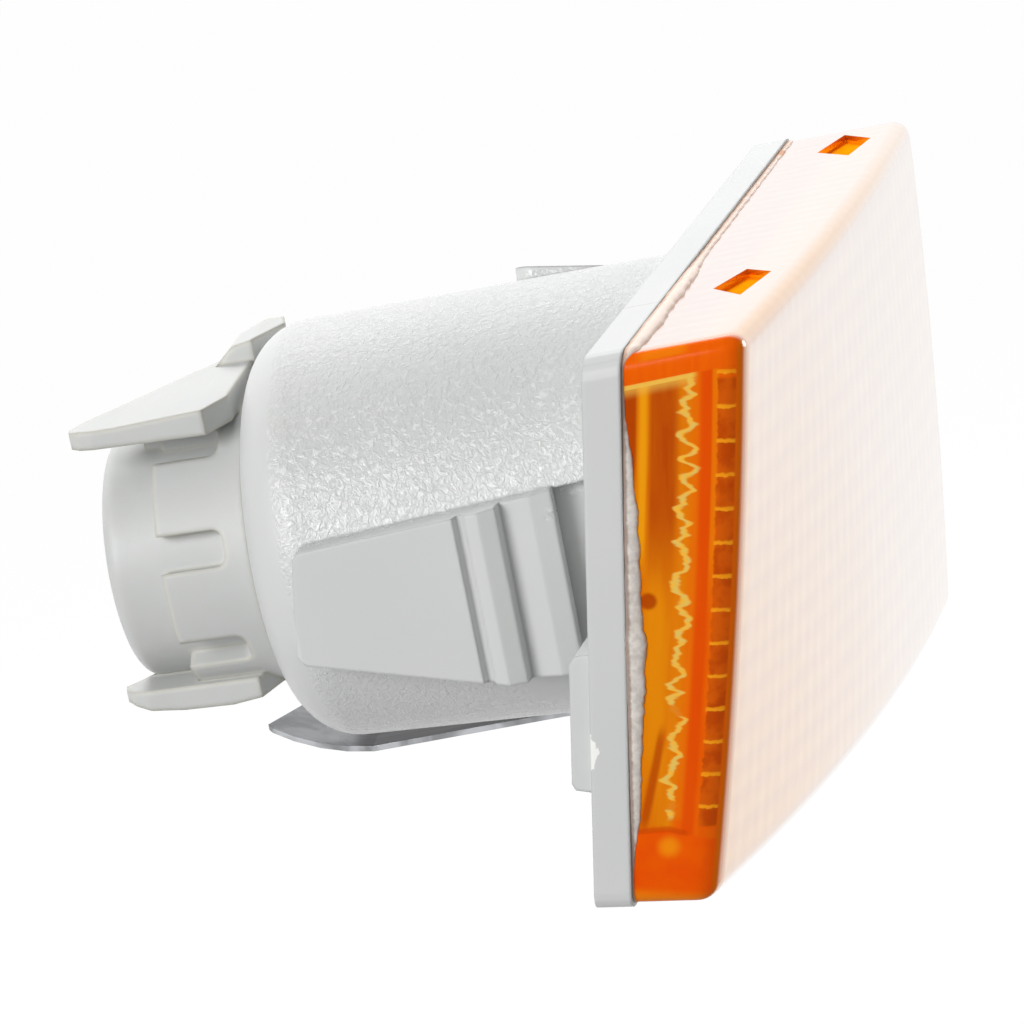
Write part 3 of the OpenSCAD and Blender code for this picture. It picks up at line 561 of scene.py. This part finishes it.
# Spring leaf.
# A stamped strip of bright spring steel under the body, held by a heat-formed stake of the
# housing; its free end turns up and presses the lamp's body away from the panel.
material, g, shader = new_material("spring_steel")
place = g.add("TexCoord").outputs["Object"]
x, y, z = g.split(place)
normal = g.split(g.add("NewGeometry").outputs["Normal"])
rolled = g.noise(g.stretched(place, 1, 0.03, 1), 2500.0, 3.0)
cloud = g.noise(place, 260.0, 3.0, 0.6)
steel = g.mix(g.step(cloud, 0.4, 0.62), paint(140, 141, 143), paint(190, 192, 195))
upper = g.step(normal[2], 0.5, 0.8)
# Painted shade: the upper face is near black where it lies under the body. Beyond the body it is a darker mid
# grey.
steel = g.over(steel, paint(52, 53, 56), upper, g.step(y, 0.0335, 0.0300))
steel = g.over(steel, paint(120, 121, 124), upper, g.step(y, 0.0300, 0.0335), 0.6)
g.links.new(steel, shader.inputs["Base Color"])
shader.inputs["Metallic"].default_value = 1.0
g.links.new(g.math("MULTIPLY_ADD", rolled, 0.2, 0.22), shader.inputs["Roughness"])
edges = g.add("Bevel", {"Radius": 0.00012}, samples=3).outputs[0]
bump = g.add("Bump", {"Strength": 0.25, "Distance": 0.00004, "Height": rolled, "Normal": edges})
g.links.new(bump.outputs[0], shader.inputs["Normal"])
dress("spring_leaf", material)

# Bulb holder.
# A slightly warmer, more translucent grey moulding: crown with grip notches, two grip wings, a
# plug with four bayonet tabs and the wedge socket. Its mould is smooth with a fine frost.
material, g, shader = new_material("holder_plastic")
place = g.add("TexCoord").outputs["Object"]
frost = g.noise(place, 1900.0, 3.0)
cloud = g.noise(place, 90.0, 3.0)
soft = g.add("Bevel", {"Radius": 0.0007}, samples=6).outputs[0]
true = g.add("NewGeometry").outputs["True Normal"]
bevel_turn = g.add("VectorMath", {0: soft, 1: true}, operation="DOT_PRODUCT").outputs["Value"]
edge = g.step(bevel_turn, 0.995, 0.93)
grey = g.mix(cloud, paint(189, 191, 190), paint(200, 201, 199))
# Lighter and warmer on the rounded edges.
grey = g.mix(g.times(edge, 0.45), grey, paint(206, 201, 184))
g.links.new(grey, shader.inputs["Base Color"])
g.links.new(g.math("MULTIPLY_ADD", frost, 0.16, 0.36), shader.inputs["Roughness"])
shader.inputs["Subsurface Weight"].default_value = 0.15
shader.inputs["Subsurface Radius"].default_value = (0.001, 0.0008, 0.0006)
shader.inputs["Subsurface Scale"].default_value = 1.0
bump = g.add("Bump", {"Strength": 0.2, "Distance": 0.00006, "Height": frost, "Normal": soft})
g.links.new(bump.outputs[0], shader.inputs["Normal"])
dress("bulb_holder", material)

# Holder seal.
# A flat black rubber ring in the crown's front recess, pressed against the body's rear wall.
material, g, shader = new_material("seal_rubber")
place = g.add("TexCoord").outputs["Object"]
dust = g.noise(place, 1200.0, 4.0)
g.links.new(g.mix(dust, paint(34, 34, 35), paint(58, 57, 56)), shader.inputs["Base Color"])
g.links.new(g.math("MULTIPLY_ADD", dust, 0.2, 0.6), shader.inputs["Roughness"])
dress("holder_seal", material)

# Terminals.
# Two tinned brass strips in the holder's channels, from the bulb's base to blades in the inlet.
material, g, shader = new_material("contact_brass")
place = g.add("TexCoord").outputs["Object"]
drawn = g.noise(g.stretched(place, 1, 0.05, 1), 3000.0, 2.0)
tarnish = g.noise(place, 400.0, 3.0)
brass = g.mix(g.step(tarnish, 0.4, 0.7), paint(214, 178, 104), paint(168, 132, 74))
g.links.new(brass, shader.inputs["Base Color"])
shader.inputs["Metallic"].default_value = 1.0
g.links.new(g.math("MULTIPLY_ADD", drawn, 0.2, 0.22), shader.inputs["Roughness"])
dress("terminal_upper", material)
dress("terminal_lower", material)

# Bulb.
# A sealed wedge-base bulb: the glass envelope and its pinched base are one piece, which is
# pushed into the holder's socket.
material, g, shader = new_material("bulb_glass")
place = g.add("TexCoord").outputs["Object"]
y = g.split(place)[1]
wavy = g.noise(place, 300.0, 2.0)
shader.inputs["Base Color"].default_value = (0.96, 0.97, 0.97, 1)
g.fill(shader.inputs["Transmission Weight"], g.step(y, 0.0260, 0.0250))
shader.inputs["Roughness"].default_value = 0.03
shader.inputs["IOR"].default_value = 1.5
bump = g.add("Bump", {"Strength": 0.15, "Distance": 0.0001, "Height": wavy})
g.links.new(bump.outputs[0], shader.inputs["Normal"])
dress("bulb", material)


# Studio.
# A white sweep all round, a broad soft light above and weaker ones from the rear left and the
# front. The camera's long lens looks from the near side, a little in front and above.
FLOOR_HEIGHT, FLOOR_HALF = -0.30, 3


def soft_light(name, at, width, power):
    data = bpy.data.lights.new(name, "AREA")
    data.shape = "SQUARE"
    data.size = width
    data.energy = power
    lamp = bpy.data.objects.new(name, data)
    scene.collection.objects.link(lamp)
    lamp.location = at
    lamp.rotation_euler = (-Vector(at)).to_track_quat("-Z", "Y").to_euler()
    lamp.visible_camera = False
    return lamp


# The sweep is white where it is seen, mirrored or looked at through glass, and lights the lamp
# more weakly, so that pale plastic keeps its colour.
def seen(g):
    path = g.add("LightPath").outputs
    direct = g.math("MAXIMUM", path["Is Camera Ray"], path["Is Glossy Ray"])
    return g.math("MAXIMUM", direct, path["Is Transmission Ray"])


soft_light("above", (0.55, 0.08, 0.46), 0.45, 7.6).visible_glossy = False
soft_light("front", (0.12, -0.60, 0.06), 0.30, 1.1)
soft_light("left", (-0.44, 0.30, 0.21), 0.26, 2.5)
world = bpy.data.worlds.new("studio")
scene.world = world
world.use_nodes = True
g = Graph(world.node_tree)
back = world.node_tree.nodes["Background"]
g.links.new(g.math("MULTIPLY_ADD", seen(g), 0.67, 0.33), back.inputs["Strength"])
back.inputs["Color"].default_value = (1, 1, 1, 1)
scene.view_settings.view_transform = "Standard"

material, g, shader = new_material("floor_finish")
shader.inputs["Base Color"].default_value = (0.4, 0.4, 0.4, 1)
shader.inputs["Roughness"].default_value = 0.9
glow = g.add("Emission", {"Color": (1, 1, 1, 1), "Strength": 1.1})
blend = g.add("MixShader", {0: g.math("MULTIPLY", seen(g), 0.88), 1: shader.outputs[0], 2: glow.outputs[0]})
g.links.new(blend.outputs[0], material.node_tree.nodes["Material Output"].inputs["Surface"])
bm = bmesh.new()
bmesh.ops.create_grid(bm, x_segments=1, y_segments=1, size=FLOOR_HALF)
mesh = bpy.data.meshes.new("floor")
bm.to_mesh(mesh)
bm.free()
mesh.materials.append(material)
floor = bpy.data.objects.new("floor", mesh)
floor.location = (0, 0, FLOOR_HEIGHT)
scene.collection.objects.link(floor)

eye = Vector((-0.3239, -0.0474, 0.0961))
right = Vector((0.1286, -0.9742, -0.1854))
down = Vector((-0.3081, 0.1385, -0.9412))
ahead = Vector((0.9426, 0.1781, -0.2823))
camera_data = bpy.data.cameras.new("camera")
camera_data.lens = 147.66
camera_data.sensor_width = 36
camera_data.clip_start = 0.01
camera_data.clip_end = 20
camera = bpy.data.objects.new("camera", camera_data)
scene.collection.objects.link(camera)
camera.matrix_world = Matrix.Translation(eye) @ Matrix((right, -down, -ahead)).transposed().to_4x4()
scene.camera = camera
